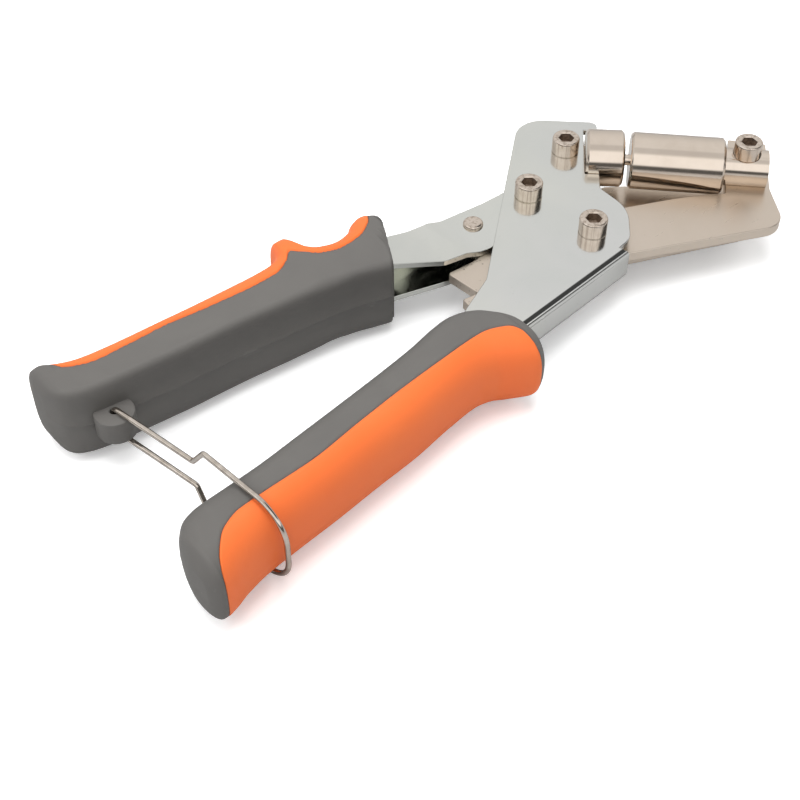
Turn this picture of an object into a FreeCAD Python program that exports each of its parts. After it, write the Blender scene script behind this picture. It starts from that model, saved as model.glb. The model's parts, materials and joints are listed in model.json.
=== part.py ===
"""Eyelet pliers: folded frame, sprung lever, nickel jaw, two dies and a locking bail.

Working frame: the lever pivot is the origin, +X runs towards the dies, +Y towards the moving
handle, +Z along the pivots. The tool lies flat, and the finished pieces are shifted so that the
whole box stands on z = 0 with its centre on the Z axis. Millimetres and degrees.
"""
import FreeCAD, Part
import math
import os

V = FreeCAD.Vector

# Driving sizes of the plates
frame_sheet = 2.3
lever_sheet = 2.1
jaw_thickness = 3.9
slide_gap = 0.15
fold_radius = 2.8
head_length = 50.0
head_width = 50.0
overrun = 1.0

# Driving sizes of the handles
grip_length = 139.0
grip_width = 24.0
grip_half_height = 14.4
grip_crown_share = 1.02
cover_skin = 2.6
boss_radius = 6.6
boss_half_height = 4.45
bail_hole_radius = 1.3
bail_wire_radius = 0.9
bail_clearance = 1.3

# Driving sizes of the dies
die_radius = 10.4
die_length = 34.1
anvil_length = 13.9
die_chamfer = 0.9
holder_radius = 7.0
holder_length = 15.9
holder_seat = 4.2
holder_gap = 1.3
stem_play = 0.1
stem_radius = holder_seat - stem_play
stem_length = 14.0
pilot_radius = 2.0
pilot_length = 3.4
pilot_socket_radius = 3.3
pilot_socket_depth = 6.0
closed_gap = 0.2
fit_clearance = 0.05

# Driving sizes of the fasteners, all M6
screw_radius = 3.0
screw_head_radius = 5.0
screw_head_height = 6.0
hex_across_flats = 5.0
hex_depth = 3.4
head_edge = 0.5
nut_across_flats = 10.0
nut_height = 5.0
sleeve_radius = 5.0
washer_radius = 8.0
washer_height = 1.6
lock_washer_rim = 1.0
lock_washer_radius = screw_head_radius + lock_washer_rim
bolt_hole_radius = screw_radius + fit_clearance

# Motion
lever_squeeze = 3.6
jaw_ratio = 0.82
jaw_close = lever_squeeze * jaw_ratio
die_axis_angle = -43.6

# Levels, measured from the middle plane of the frame
jaw_top = jaw_thickness / 2
lever_in_inner = jaw_top + slide_gap
lever_in_outer = lever_in_inner + lever_sheet
frame_inner = lever_in_outer + slide_gap
frame_outer = frame_inner + frame_sheet
die_axis_z = jaw_top + holder_seat
cheek_thickness = 2.0
cheek_top = -frame_outer - slide_gap
cheek_bottom = cheek_top - cheek_thickness

# Pivots, as shares of the head's length and width
anvil_screw_share = (0.572, 0.206)
jaw_pivot_share = (0.066, -0.58)


def at_head(share):
    """Plan point of the head from its shares of the head's length and width."""
    return V(share[0] * head_length, share[1] * head_width, 0)


lever_pivot = V(0, 0, 0)
anvil_screw_at = at_head(anvil_screw_share)
jaw_pivot = at_head(jaw_pivot_share)
axis_dir = V(math.cos(math.radians(die_axis_angle)), math.sin(math.radians(die_axis_angle)), 0)
axis_side = V(-axis_dir.y, axis_dir.x, 0)
up = V(0, 0, 1)

# The anvil lies beside its screw: its start along the die axis and its offset to the side
anvil_start = 7.3
anvil_side = -3.0
notch_start = 7.1
notch_far = 13.0
notch_play = 0.15
tab_end = 12.3
tab_width = 5.5
step_depth = 8.0


def beside_anvil(along, side):
    """Plan point counted from the anvil screw, along and across the closed die axis."""
    return anvil_screw_at + axis_dir * along + axis_side * side


def rounded_wire(corners, z=0.0):
    """Closed wire through (x, y, radius) corners, each corner rounded by its own arc."""
    count = len(corners)
    edges, ends = [], []
    for i, (x, y, radius) in enumerate(corners):
        here = V(x, y, z)
        before = V(corners[i - 1][0], corners[i - 1][1], z) - here
        after = V(corners[(i + 1) % count][0], corners[(i + 1) % count][1], z) - here
        before.normalize()
        after.normalize()
        half = before.getAngle(after) / 2
        reach = radius / math.tan(half)
        middle = before + after
        if radius == 0 or middle.Length < 1e-6:
            ends.append((here, None, here))
            continue
        middle.normalize()
        top = here + middle * (radius / math.sin(half) - radius)
        ends.append((here + before * reach, top, here + after * reach))
    for i, (start, top, stop) in enumerate(ends):
        if top is not None:
            edges.append(Part.Arc(start, top, stop).toShape())
        following = ends[(i + 1) % count][0]
        if (following - stop).Length > 1e-5:
            edges.append(Part.LineSegment(stop, following).toShape())
    return Part.Wire(edges)


def plate(corners, low, high):
    """Flat plate between two levels, from its rounded corners."""
    return Part.Face(rounded_wire(corners, low)).extrude(V(0, 0, high - low))


def flat(points, radius=0.0):
    """Corners for plate() from plan vectors that share one radius."""
    return [(p.x, p.y, radius) for p in points]


def rod(at, low, high, radius):
    """Upright cylinder at a plan point."""
    return Part.makeCylinder(radius, high - low, V(at.x, at.y, low), up)


def hex_rod(at, low, high, across):
    """Upright hexagonal bar."""
    points = []
    for i in range(6):
        angle = math.radians(60 * i)
        points.append(V(at.x + across / math.sqrt(3) * math.cos(angle),
                        at.y + across / math.sqrt(3) * math.sin(angle), low))
    return Part.Face(Part.makePolygon(points + points[:1])).extrude(V(0, 0, high - low))


def fused(shapes):
    """One solid from overlapping solids."""
    result = shapes[0].multiFuse(shapes[1:]).removeSplitter()
    return result.Solids[0] if len(result.Solids) == 1 else result


def socket_screw(at, seat, low):
    """Cap screw whose head stands on the level seat and whose shank ends at the level low."""
    top = seat + screw_head_height
    head = rod(at, seat, top, screw_head_radius)
    rim = [e for e in head.Edges if e.Length > screw_head_radius * 6 and abs(e.BoundBox.ZMin - top) < 1e-6]
    head = head.makeChamfer(head_edge, rim)
    head = head.cut(hex_rod(at, top - hex_depth, top + overrun, hex_across_flats))
    return fused([head, rod(at, low, seat, screw_radius)])


def nut(at, top):
    """Hexagon nut hanging below the level top."""
    low = top - nut_height
    body = hex_rod(at, low, top, nut_across_flats)
    cone = Part.makeCone(nut_across_flats / 2, nut_across_flats / 2 + nut_height, nut_height,
                         V(at.x, at.y, low), up)
    body = body.common(cone)
    return body.cut(rod(at, low - overrun, top + overrun, screw_radius))


def ring(at, low, high, inner, outer):
    """Washer or sleeve."""
    return rod(at, low, high, outer).cut(rod(at, low - overrun, high + overrun, inner))


def on_axis(start, side, begin, length, radius):
    """Cylinder lying along the closed die axis, begin counted from the anvil screw."""
    foot = beside_anvil(begin, side) + V(0, 0, die_axis_z)
    return Part.makeCylinder(radius, length, foot, start)


def jaw_at_rest(shape):
    """Turns a piece that is drawn with the dies closed to the rest position of the jaw."""
    turned = shape.copy()
    turned.rotate(jaw_pivot, up, -jaw_close)
    return turned


def at_rest(point):
    """Turns a plan point from the closed position to the rest position of the jaw."""
    turn = FreeCAD.Rotation(up, -jaw_close)
    return jaw_pivot + turn.multVec(point - jaw_pivot)


# Frame: a channel folded along its lower edge, with a head that carries the anvil and both pivots
left_edge_shares = ((0.574, 0.714), (-0.84, -0.476), (-1.14, -0.606))
fold_shares = ((0.13, -0.888), (-1.0, -0.986))
lobe_shares = ((0.44, -0.57), (0.21, -0.812), (0.084, -0.828))
relief_share = (0.092, -0.852)
corner_radius = 6.5
crown_radius = 11.0
edge_radius = 1.2
lobe_radii = (16.0, 9.0)
tang_shares = ((-2.5, -0.87), (-2.5, -1.13))
neck_share = (-1.3, -0.7)


def frame_tang():
    """The two far corners of the channel inside the grip: open side and folded side."""
    return at_head(tang_shares[0]), at_head(tang_shares[1])


def frame_corners(notched):
    """Corners of a frame plate; only the upper plate has the notch for the anvil."""
    far_top = notch_far + tab_width
    tang_left, tang_fold = frame_tang()
    near = anvil_side - die_radius - notch_play
    corners = [(at_head(left_edge_shares[0]), crown_radius),
               (beside_anvil(tab_end, far_top), 2.5 * edge_radius)]
    if notched:
        corners += [(beside_anvil(tab_end, notch_far), edge_radius / 2),
                    (beside_anvil(notch_start, notch_far), edge_radius / 2),
                    (beside_anvil(notch_start, near), edge_radius / 2),
                    (beside_anvil(tab_end, near), edge_radius)]
    corners += [(beside_anvil(tab_end, near - step_depth), edge_radius),
                (at_head(lobe_shares[0]), lobe_radii[0]), (at_head(lobe_shares[1]), lobe_radii[1]),
                (at_head(lobe_shares[2]), 0), (at_head(relief_share), 0),
                (at_head(fold_shares[0]), 0), (at_head(fold_shares[1]), 0),
                (tang_fold, 0), (tang_left, 0), (at_head(neck_share), corner_radius),
                (at_head(left_edge_shares[2]), corner_radius),
                (at_head(left_edge_shares[1]), corner_radius)]
    return [(p.x, p.y, r) for p, r in corners]


def frame_channel():
    """Both plates and the folded web, with the screw holes."""
    body = plate(frame_corners(False), -frame_outer, frame_outer)
    fold = [at_head(fold_shares[0]), at_head(fold_shares[1]), frame_tang()[1]]
    edges = []
    for edge in body.Edges:
        ends = [v.Point for v in edge.Vertexes]
        level = all(abs(abs(p.z) - frame_outer) < 1e-6 for p in ends)
        on_fold = all(min((V(p.x, p.y, 0) - q).Length for q in fold) < 1e-6 for p in ends)
        if len(ends) == 2 and level and on_fold and ends[0].z == ends[1].z:
            edges.append(edge)
    body = body.makeFillet(fold_radius, edges)
    inward = [p + V(0, frame_sheet / math.cos(math.atan2(1, 8)), 0) for p in fold]
    far = head_width * 2
    cavity = [inward[0] + V(head_length, 0, 0), inward[0], inward[1],
              inward[2] + V(-overrun * 2, 0, 0),
              inward[2] + V(-overrun * 2, far, 0), inward[0] + V(head_length, far, 0)]
    body = body.cut(plate(flat(cavity), -frame_inner, frame_inner))
    near = anvil_side - die_radius - notch_play
    notch = [beside_anvil(notch_start, near), beside_anvil(notch_start, notch_far),
             beside_anvil(tab_end + far, notch_far), beside_anvil(tab_end + far, near)]
    body = body.cut(plate(flat(notch), 0, frame_outer + overrun))
    for at in (lever_pivot, jaw_pivot, anvil_screw_at):
        body = body.cut(rod(at, -frame_outer - overrun, frame_outer + overrun, bolt_hole_radius))
    return body


# Lever: a folded channel, lower between the frame plates and taller towards its handle
lever_shares = (
    (0.168, 0.168), (0.168, -0.176), (-0.57, -0.216), (-0.92, -0.148), (-1.26, 0.012), (-2.48, 0.156),
    (-2.48, 0.39), (-1.28, 0.316), (-0.8, 0.244), (-0.28, 0.184),
)
lever_radii = (8.0, 8.0, 7.0, 10.0, 6.0, 0.0, 0.0, 12.0, 20.0, 12.0)
lever_steps = ((-0.64, 1.0), (-0.75, 1.39), (-0.92, 1.39), (-1.28, 2.1), (-2.6, 2.1))
lever_web_end_share = -0.15
drive_pin_share = (-0.484, 0.052)
drive_roller_radius = 5.0
pin_head_radius = 3.6
pin_head_height = 1.3


def lever_profile(sheet):
    """Side view of the lever, thinner by one sheet on both faces."""
    top = [(lever_pivot.x + head_length, lever_in_outer - sheet)]
    for along, factor in lever_steps:
        top.append((along * head_length, lever_in_outer * factor - sheet))
    points = [V(x, -head_width, z) for x, z in top]
    points += [V(x, -head_width, -z) for x, z in reversed(top)]
    return Part.Face(Part.makePolygon(points + points[:1])).extrude(V(0, 2 * head_width, 0))


def lever_channel():
    """Lever with its two eyes round the pivot sleeve and the hole for the drive pin."""
    corners = [(at_head(s).x, at_head(s).y, r) for s, r in zip(lever_shares, lever_radii)]
    deep = grip_half_height
    body = plate(corners, -deep, deep).common(lever_profile(0.0))
    sunk = [(x, y - lever_sheet * 1.02, r) for x, y, r in corners[5:]]
    sunk[0] = (sunk[0][0] - overrun, -head_width, 0)
    sunk[1] = (sunk[1][0] - overrun, sunk[1][1], 0)
    sunk[-1] = (lever_web_end_share * head_length, sunk[-1][1], 0)
    sunk.append((lever_web_end_share * head_length, head_width, 0))
    sunk.append((head_length, head_width, 0))
    sunk.append((head_length, -head_width, 0))
    body = body.cut(plate(sunk, -deep, deep).common(lever_profile(lever_sheet)))
    body = body.cut(rod(lever_pivot, -deep, deep, sleeve_radius + fit_clearance))
    return body.cut(rod(at_head(drive_pin_share), -deep, deep, bolt_hole_radius))


def drive_pin():
    """Riveted pin across the lever."""
    at = at_head(drive_pin_share)
    shank = rod(at, -lever_in_outer, lever_in_outer, screw_radius)
    head = rod(at, lever_in_outer, lever_in_outer + pin_head_height, pin_head_radius)
    rim = [e for e in head.Edges
           if e.BoundBox.ZMin > lever_in_outer + pin_head_height / 2 and e.Length > pin_head_radius]
    head = head.makeFillet(pin_head_height * 0.8, rim)
    foot = head.copy()
    foot.rotate(at, V(1, 0, 0), 180)
    return fused([shank, head, foot])


# Handles: rounded sections along the handle, as shares of the grip length and width
frame_grip_power = 2.6
lever_grip_power = 3.2
section_points = 24
lever_grip_stations = (
    (-0.36, -0.271, 0.938, 0.82), (-0.385, -0.271, 1.075, 0.95), (-0.417, -0.25, 1.133, 1),
    (-0.446, -0.229, 1.075, 1), (-0.475, -0.2, 0.95, 1), (-0.525, -0.108, 0.883, 1),
    (-0.568, -0.025, 0.958, 1), (-0.597, 0.008, 1.133, 1), (-0.619, 0.029, 1.475, 1),
    (-0.64, 0.05, 1.467, 1), (-0.669, 0.071, 1.158, 1), (-0.712, 0.1, 1.067, 1),
    (-0.77, 0.133, 1.05, 1), (-0.849, 0.188, 1.058, 1), (-0.942, 0.233, 1.075, 1),
    (-1.014, 0.258, 1.1, 1), (-1.086, 0.3, 1.117, 1), (-1.158, 0.346, 1.142, 1),
    (-1.223, 0.388, 1.192, 1), (-1.27, 0.442, 1.3, 1), (-1.304, 0.525, 1.425, 1),
    (-1.326, 0.658, 1.417, 0.93), (-1.338, 0.854, 1.292, 0.76),
)
frame_grip_stations = (
    (-0.358, -2.417, -1.917, 0.7), (-0.374, -2.625, -1.688, 0.88), (-0.399, -2.688, -1.5, 0.97),
    (-0.424, -2.625, -1.358, 1), (-0.453, -2.533, -1.275, 1), (-0.489, -2.408, -1.25, 1),
    (-0.532, -2.358, -1.283, 1), (-0.619, -2.408, -1.392, 1), (-0.741, -2.525, -1.496, 1),
    (-0.863, -2.592, -1.588, 1), (-0.986, -2.675, -1.675, 1), (-1.101, -2.733, -1.754, 1),
    (-1.187, -2.792, -1.783, 1), (-1.252, -2.887, -1.8, 1), (-1.291, -2.971, -1.858, 1),
    (-1.324, -3.012, -2.042, 0.94), (-1.347, -2.917, -2.375, 0.65),
)
lever_seam = (
    (-1.27, 1.037), (-1.173, 0.838), (-1.029, 0.829), (-0.891, 0.742), (-0.773, 0.696),
    (-0.717, 0.704), (-0.668, 0.833), (-0.64, 0.958), (-0.619, 0.838), (-0.586, 0.658),
    (-0.533, 0.558), (-0.478, 0.592), (-0.429, 0.737), (-0.409, 0.879),
)
frame_seam = (
    (-1.314, -2.913), (-1.288, -2.663), (-1.25, -2.446), (-1.199, -2.337), (-1.133, -2.317),
    (-1.022, -2.3), (-0.863, -2.171), (-0.73, -2.071), (-0.606, -2.008), (-0.478, -1.963),
    (-0.428, -2.042), (-0.399, -2.25), (-0.396, -2.425),
)
mouth_shares = ((-0.378, 0.825), (-0.474, -0.163))
boss_share = (-1.2237, 0.3)


def at_grip(share):
    """Plan point of the handles from its shares of the handle's length and width."""
    return V(share[0] * grip_length, share[1] * grip_width, 0)


boss_at = at_grip(boss_share)


def section(along, low, high, factor, inset, power):
    """One closed rounded section across the handle."""
    x, middle = along * grip_length, (low + high) / 2 * grip_width
    half, tall = (high - low) / 2 * grip_width - inset, grip_half_height * factor * grip_crown_share - inset
    points = []
    for i in range(section_points):
        angle = 2 * math.pi * i / section_points
        c, s = math.cos(angle), math.sin(angle)
        wide = math.copysign(abs(c) ** (2 / power), c) * half
        points.append(V(x, middle + wide, math.copysign(abs(s) ** (2 / power), s) * tall))
    curve = Part.BSplineCurve()
    curve.interpolate(points, PeriodicFlag=True)
    return Part.Wire(curve.toShape())


def grip_body(stations, power, inset=0.0):
    """Whole handle as one smooth body with flat top and underside."""
    body = Part.makeLoft([section(*s, inset, power) for s in stations], True, False)
    size = grip_length * 4
    level = grip_half_height - inset
    flats = Part.makeBox(size, size, 2 * level, V(-size / 2, -size / 2, -level))
    return body.common(flats)


def seam_block(seam, sign):
    """Everything on the outer side of the seam between the two plastics."""
    points = [V(x * grip_length, y * grip_width, -grip_width) for x, y in seam]
    curve = Part.BSplineCurve()
    curve.interpolate(points)
    far = sign * grip_length * 2
    first, last = points[0], points[-1]
    lead = V(first.x - cover_skin * 2, first.y + sign * grip_width, -grip_width)
    tail = V(last.x - cover_skin, last.y + sign * grip_width, -grip_width)
    corners = [V(tail.x, far, -grip_width), V(lead.x, far, -grip_width)]
    line = Part.makePolygon([last, tail] + corners + [lead, first])
    outline = Part.Wire([curve.toShape()] + line.Edges)
    return Part.Face(outline).extrude(V(0, 0, 2 * grip_width))


def grip_parts(stations, power, seam, sign, whole):
    """Splits a handle into its hard core and its soft cover."""
    cover = whole.common(seam_block(seam, sign)).cut(grip_body(stations, power, cover_skin))
    cover = max(cover.Solids, key=lambda s: s.Volume)
    core = whole.cut(cover.copy())
    return max(core.Solids, key=lambda s: s.Volume), cover


def lever_grip():
    """Moving handle: slanted mouth and a drilled boss for the bail."""
    body = grip_body(lever_grip_stations, lever_grip_power)
    high = V(mouth_shares[0][0] * grip_length, mouth_shares[0][1] * grip_width, 0)
    low = V(mouth_shares[1][0] * grip_length, mouth_shares[1][1] * grip_width, 0)
    slope = high - low
    ahead = V(grip_length, 0, 0)
    front = [high + slope, low - slope, low - slope + ahead, high + slope + ahead]
    return body.cut(plate(flat(front), -grip_width, grip_width))


def with_boss(core):
    """Adds the boss with its through hole."""
    lug = rod(boss_at, -boss_half_height, boss_half_height, boss_radius)
    body = fused([core, lug.cut(grip_body(lever_grip_stations, lever_grip_power, cover_skin))])
    return body.cut(rod(boss_at, -grip_half_height, grip_half_height, bail_hole_radius))


# Dies, on the closed die axis
anvil_end = anvil_start + anvil_length
die_start = anvil_end + closed_gap
die_end = die_start + die_length
holder_end = die_end + holder_length
clamp_set_back = 7.8
clamp_along = die_end + clamp_set_back
tang_near, tang_far, tang_back = 9.5, 6.5, 7.0
clamp_at = at_rest(beside_anvil(clamp_along, anvil_side))


def chamfered(shape, at_begin, at_finish, along_begin, along_finish):
    """Breaks the outer rims of a die at the chosen ends."""
    rims = []
    for e in shape.Edges:
        if abs(e.Length - 2 * math.pi * die_radius) > 1e-3:
            continue
        along = (e.CenterOfMass - anvil_screw_at).dot(axis_dir)
        near_begin, near_finish = abs(along - along_begin) < 1e-3, abs(along - along_finish) < 1e-3
        if (at_begin and near_begin) or (at_finish and near_finish):
            rims.append(e)
    return shape.makeChamfer(die_chamfer, rims)


def anvil_die():
    """Fixed die with its tang between the frame plates and its socket for the pilot."""
    head = on_axis(axis_dir, anvil_side, anvil_start, anvil_length, die_radius)
    head = chamfered(head, True, True, anvil_start, anvil_end)
    foot = [beside_anvil(-tang_back, -tang_near), beside_anvil(anvil_start + overrun, -tang_near),
            beside_anvil(anvil_start + overrun, tang_far), beside_anvil(-tang_back, tang_far)]
    tang = plate(flat(foot, edge_radius), -frame_inner, frame_inner)
    below = plate(flat([beside_anvil(anvil_start, -tang_near * 2), beside_anvil(anvil_end, -tang_near * 2),
                        beside_anvil(anvil_end, tang_far * 2), beside_anvil(anvil_start, tang_far * 2)]),
                  -grip_half_height, -frame_inner + slide_gap)
    body = fused([head.cut(below), tang])
    body = body.cut(rod(anvil_screw_at, -grip_half_height, grip_half_height, bolt_hole_radius))
    return body.cut(on_axis(axis_dir, anvil_side, anvil_end - pilot_socket_depth,
                            pilot_socket_depth + overrun, pilot_socket_radius))


def moving_die():
    """Moving die with the stem that the clamp screw holds."""
    body = on_axis(axis_dir, anvil_side, die_start, die_length, die_radius)
    body = chamfered(body, True, True, die_start, die_end)
    stem = on_axis(axis_dir, anvil_side, die_end - overrun, stem_length + overrun, stem_radius)
    body = fused([body, stem])
    seat_depth = pilot_socket_depth + overrun
    body = body.cut(on_axis(axis_dir, anvil_side, die_start - overrun, seat_depth, pilot_radius))
    body = jaw_at_rest(body)
    return body.cut(rod(clamp_at, -grip_half_height, grip_width, bolt_hole_radius))


def die_pilot():
    """Pilot pressed into the moving die; it enters the socket of the anvil."""
    whole_length = pilot_length + pilot_socket_depth
    body = on_axis(axis_dir, anvil_side, die_start - pilot_length, whole_length, pilot_radius)
    return jaw_at_rest(body)


def die_holder():
    """Neck on the jaw plate with a saddle behind it and a seat for the clamp screw."""
    neck = on_axis(axis_dir, anvil_side, die_end, holder_length, holder_radius)
    side, back = anvil_side + holder_radius * 0.4, anvil_side + holder_radius + edge_radius
    outline = flat([beside_anvil(die_end + holder_gap, side), beside_anvil(holder_end - overrun, side),
                    beside_anvil(holder_end - overrun, back - edge_radius),
                    beside_anvil(die_end + holder_gap, back)], edge_radius / 2)
    saddle = plate(outline, jaw_top, die_axis_z + screw_head_height)
    body = fused([neck, saddle])
    below = beside_anvil(die_end - overrun, anvil_side)
    corner = below - V(head_length / 2, head_length / 2, head_length) + up * jaw_top
    under = Part.makeBox(head_length, head_length, head_length, corner)
    body = body.cut(under)
    bore_radius, bore_length = stem_radius + fit_clearance, stem_length + overrun * 2
    body = body.cut(on_axis(axis_dir, anvil_side, die_end - overrun, bore_length, bore_radius))
    body = jaw_at_rest(body)
    body = body.cut(rod(clamp_at, -grip_half_height, grip_width, bolt_hole_radius))
    return body.cut(rod(clamp_at, die_axis_z + screw_head_height, grip_width, screw_head_radius + slide_gap))


# Jaw: thick plate with a horn under the drive roller, and a thin cheek below the frame
jaw_under_roller_angle = -4.0
horn_run = 8.0
horn_radius = 3.0
seat_overhang = 1.7
seat_inset = 1.0
seat_radii = (3.0, 4.0, 1.5, 1.0)
jaw_left_shares = (
    (-0.66, -0.206), (-0.932, -0.188), (-0.904, -0.47), (-1.03, -0.45), (-1.04, -0.54), (-0.76, -0.54),
    (-0.18, -0.772), (0.066, -0.812), (0.128, -0.82), (1.252, -1.346),
)
jaw_left_radii = (2.0, 1.0, 1.0, 0.6, 0.8, 8.0, 8.0, 4.0, 0.0, 8.3)
jaw_upper_shares = ((1.11, -0.76), (0.86, -0.626), (0.514, -0.468), (0.24, -0.29), (-0.18, -0.27))
jaw_upper_radii = (1.2, 30.0, 12.0, 8.0, 4.0)
cheek_shares = (
    (-0.08, -0.39), (-0.15, -0.6), (0.02, -0.77), (0.24, -0.75), (1.13, -1.132), (1.4, -0.97), (1.58, -0.88),
    (1.58, -0.66), (1.32, -0.51), (1.16, -0.43), (0.98, -0.3), (0.88, -0.16), (0.73, -0.05), (0.44, -0.21),
)
cheek_radii = (6.0, 6.0, 8.0, 6.0, 8.0, 4.0, 5.0, 5.0, 8.0, 8.0, 8.0, 5.0, 3.0, 8.0)


def jaw_plate():
    """Jaw between the lever plates, from the horn on the left to the neck seat on the right."""
    turn = FreeCAD.Rotation(up, jaw_under_roller_angle)
    slope, down = turn.multVec(V(1, 0, 0)), turn.multVec(V(0, -1, 0))
    touch = at_head(drive_pin_share) + down * (drive_roller_radius + fit_clearance)
    horn = [(touch + slope * horn_run, horn_radius), (touch - slope * horn_run * 0.6, horn_radius)]
    corners = [(p.x, p.y, r) for p, r in horn]
    corners += [(at_head(s).x, at_head(s).y, r) for s, r in zip(jaw_left_shares, jaw_left_radii)]
    seat_end, seat_side = holder_end + seat_overhang, anvil_side + holder_radius + edge_radius * 1.5
    seat = [(seat_end, anvil_side - holder_radius + seat_inset), (seat_end, seat_side),
            (die_end + holder_gap, seat_side), (die_end + holder_gap, anvil_side - die_radius)]
    turned = [at_rest(beside_anvil(along, side)) for along, side in seat]
    corners += [(p.x, p.y, r) for p, r in zip(turned, seat_radii)]
    corners += [(at_head(s).x, at_head(s).y, r) for s, r in zip(jaw_upper_shares, jaw_upper_radii)]
    body = plate(corners, -jaw_top, jaw_top)
    body = body.cut(rod(jaw_pivot, -grip_half_height, grip_half_height, sleeve_radius + fit_clearance))
    return body.cut(rod(clamp_at, -grip_half_height, grip_half_height, bolt_hole_radius))


def jaw_cheek():
    """Thin cheek that turns under the frame with the jaw."""
    corners = [(at_head(s).x, at_head(s).y, r) for s, r in zip(cheek_shares, cheek_radii)]
    body = plate(corners, cheek_bottom, cheek_top)
    for at in (jaw_pivot, clamp_at):
        body = body.cut(rod(at, -grip_half_height, grip_half_height, bolt_hole_radius))
    return body


# Spring and bail
spring_wire_radius = 0.55
spring_radius = 6.3
spring_pitch = 1.25
spring_turns = 2.05
spring_leg = 12.0
bail_spread = grip_half_height + bail_clearance + bail_wire_radius
bail_leg_z = boss_half_height + slide_gap + bail_wire_radius
bail_bend = 1.7
bail_loop_radius = 10.5
bail_narrow_shares = (-1.177, -1.121)
bail_wide_shares = (-1.179, -1.433)
bail_tip_shares = (-1.154, -2.9375)


def swept(path, start, toward, radius):
    """Round wire along a path."""
    circle = Part.Wire(Part.Circle(start, toward, radius).toShape())
    return path.makePipeShell([circle], True, False)


def return_spring():
    """Torsion coil round the lever sleeve, one wire with its two straight legs."""
    rise = spring_pitch * spring_turns
    count = int(section_points * spring_turns)
    points = []
    for i in range(count + 1):
        angle = math.radians(90 + 360 * spring_turns * i / count)
        height = rise * i / count - rise / 2
        points.append(V(spring_radius * math.cos(angle), spring_radius * math.sin(angle), height))
    onward = points[-1] - points[-2]
    onward.z = 0
    onward.normalize()
    for step in (0.25, 0.5, 1.0):
        points.insert(0, V(spring_leg * step, spring_radius, -rise / 2))
    last = points[-1]
    points += [last + onward * (spring_leg * step) for step in (0.25, 0.5, 1.0)]
    curve = Part.BSplineCurve()
    curve.interpolate(points)
    return swept(Part.Wire(curve.toShape()), points[0], V(1, 0, 0), spring_wire_radius)


def locking_bail():
    """Wire bail: both ends turned into the boss, narrow legs, a jog, and a loop with round corners."""
    narrow, wide, tip = at_grip(bail_narrow_shares), at_grip(bail_wide_shares), at_grip(bail_tip_shares)
    corners = [(boss_at + up * spring_wire_radius, 0), (boss_at + up * bail_leg_z, bail_bend),
               (narrow + up * bail_leg_z, bail_bend), (wide + up * bail_spread, bail_bend),
               (tip + up * bail_spread, bail_loop_radius)]
    corners += [(V(p.x, p.y, -p.z), radius) for p, radius in reversed(corners)]
    edges, here = [], corners[0][0]
    for i in range(1, len(corners) - 1):
        corner, bend = corners[i]
        back, on = corners[i - 1][0] - corner, corners[i + 1][0] - corner
        back.normalize()
        on.normalize()
        half = back.getAngle(on) / 2
        reach = bend / math.tan(half)
        middle = back + on
        middle.normalize()
        top = corner + middle * (bend / math.sin(half) - bend)
        edges.append(Part.LineSegment(here, corner + back * reach).toShape())
        edges.append(Part.Arc(corner + back * reach, top, corner + on * reach).toShape())
        here = corner + on * reach
    edges.append(Part.LineSegment(here, corners[-1][0]).toShape())
    return swept(Part.Wire(edges), corners[0][0], up, bail_wire_radius)


def build():
    """Every piece by its node name."""
    screw_low = -grip_half_height
    channel, lever = frame_channel(), lever_channel()
    frame_core, frame_cover = grip_parts(
        frame_grip_stations, frame_grip_power, frame_seam, -1,
        grip_body(frame_grip_stations, frame_grip_power))
    lever_core, lever_cover = grip_parts(
        lever_grip_stations, lever_grip_power, lever_seam, 1, lever_grip())
    pocket = plate(frame_corners(False), -frame_outer, frame_outer)
    frame_core, lever_core = frame_core.cut(pocket), lever_core.cut(lever)
    parts = {
        "frame_channel": channel,
        "frame_grip_core": max(frame_core.Solids, key=lambda s: s.Volume),
        "frame_grip_cover": frame_cover,
        "anvil_die": anvil_die(),
        "return_spring": return_spring(),
        "lever_channel": lever,
        "lever_grip_core": with_boss(max(lever_core.Solids, key=lambda s: s.Volume)),
        "lever_grip_cover": lever_cover,
        "drive_pin": drive_pin(),
        "drive_roller": ring(at_head(drive_pin_share), -jaw_top, jaw_top,
                             bolt_hole_radius, drive_roller_radius),
        "jaw_plate": jaw_plate(),
        "jaw_cheek": jaw_cheek(),
        "jaw_spacer": ring(clamp_at, cheek_top, -jaw_top, bolt_hole_radius, sleeve_radius),
        "moving_die": moving_die(),
        "die_holder": die_holder(),
        "die_pilot": die_pilot(),
        "locking_bail": locking_bail(),
    }
    for name, at in (("anvil", anvil_screw_at), ("lever", lever_pivot), ("jaw", jaw_pivot)):
        parts[name + "_screw"] = socket_screw(at, frame_outer, screw_low)
        if name == "jaw":
            parts["jaw_nut"] = nut(at, cheek_bottom - slide_gap)
        else:
            parts[name + "_lock_washer"] = ring(at, -frame_outer - washer_height, -frame_outer,
                                                bolt_hole_radius, lock_washer_radius)
            parts[name + "_nut"] = nut(at, -frame_outer - washer_height)
    for name, at in (("lever", lever_pivot), ("jaw", jaw_pivot)):
        parts[name + "_sleeve"] = ring(at, -frame_inner, frame_inner, bolt_hole_radius, sleeve_radius)
    for name, low in (("upper", jaw_top), ("lower", -frame_inner)):
        parts["jaw_washer_" + name] = ring(jaw_pivot, low, low + frame_inner - jaw_top,
                                           sleeve_radius + fit_clearance, washer_radius)
    parts["clamp_screw"] = socket_screw(clamp_at, die_axis_z + screw_head_height, screw_low)
    parts["clamp_nut"] = nut(clamp_at, cheek_bottom)
    return parts


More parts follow.
